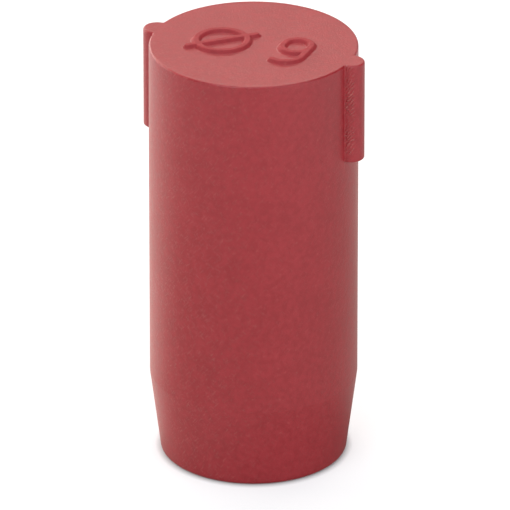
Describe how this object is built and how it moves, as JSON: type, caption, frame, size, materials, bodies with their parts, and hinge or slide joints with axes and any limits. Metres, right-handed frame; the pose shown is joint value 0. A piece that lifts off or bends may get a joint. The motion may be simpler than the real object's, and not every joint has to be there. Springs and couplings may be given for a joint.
{
  "type": "blanking plug",
  "caption": "Round moulded blanking plug with a tapered nose, stop ribs beside the head and a raised diameter mark, for closing an unused cable hole in a seal.",
  "frame": {"origin": "centre of the nose face, the face the plug stands on and enters the seal with", "axes": "+Z along the plug's axis from nose to head; +X through one stop rib and -X through the other; the size mark reads along +X and its top is towards +Y"},
  "size_m": [0.0102, 0.009, 0.0192],
  "materials": {
    "moulded_plastic": "matte, as moulded, oxide red"
  },
  "bodies": {
    "root": {"blanking_plug": "moulded_plastic"}
  },
  "joints": []
}
